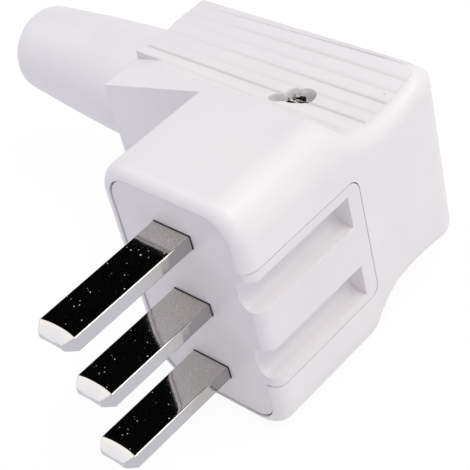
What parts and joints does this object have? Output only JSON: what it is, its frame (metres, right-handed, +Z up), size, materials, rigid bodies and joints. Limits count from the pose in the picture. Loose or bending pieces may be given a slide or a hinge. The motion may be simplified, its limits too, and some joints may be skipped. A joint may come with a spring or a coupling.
{
  "type": "cooker plug",
  "caption": "Angled rewireable plug with flat parallel blades on a rounded boss, a waisted ribbed grip behind it and a tapered cable sleeve leaving sideways.",
  "frame": {"origin": "centre of the middle blade on the engagement face, where the blades leave the pin carrier", "axes": "-Y is the way the blades point, +Z runs up the column of blades to the longer one, -X is the way the cable sleeve leaves"},
  "size_m": [0.1262, 0.1091, 0.066],
  "materials": {
    "shell_plastic": "gloss",
    "carrier_plastic": "gloss",
    "sleeve_rubber": "satin",
    "plated_blade": "polished",
    "zinc_steel": "satin",
    "insert_brass": "satin"
  },
  "bodies": {
    "root": {"housing": "shell_plastic", "pin_carrier": "carrier_plastic", "cable_sleeve": "sleeve_rubber", "cord_clamp_bar": "carrier_plastic", "earth_pin": "plated_blade", "middle_pin": "plated_blade", "lower_pin": "plated_blade", "earth_washer": "zinc_steel", "middle_washer": "zinc_steel", "lower_washer": "zinc_steel", "earth_terminal_screw": "zinc_steel", "middle_terminal_screw": "zinc_steel", "lower_terminal_screw": "zinc_steel", "upper_clamp_screw": "zinc_steel", "lower_clamp_screw": "zinc_steel", "upper_clamp_insert": "insert_brass", "lower_clamp_insert": "insert_brass", "lock_insert": "insert_brass", "lock_washer": "zinc_steel", "lock_screw": "zinc_steel"}
  },
  "joints": []
}
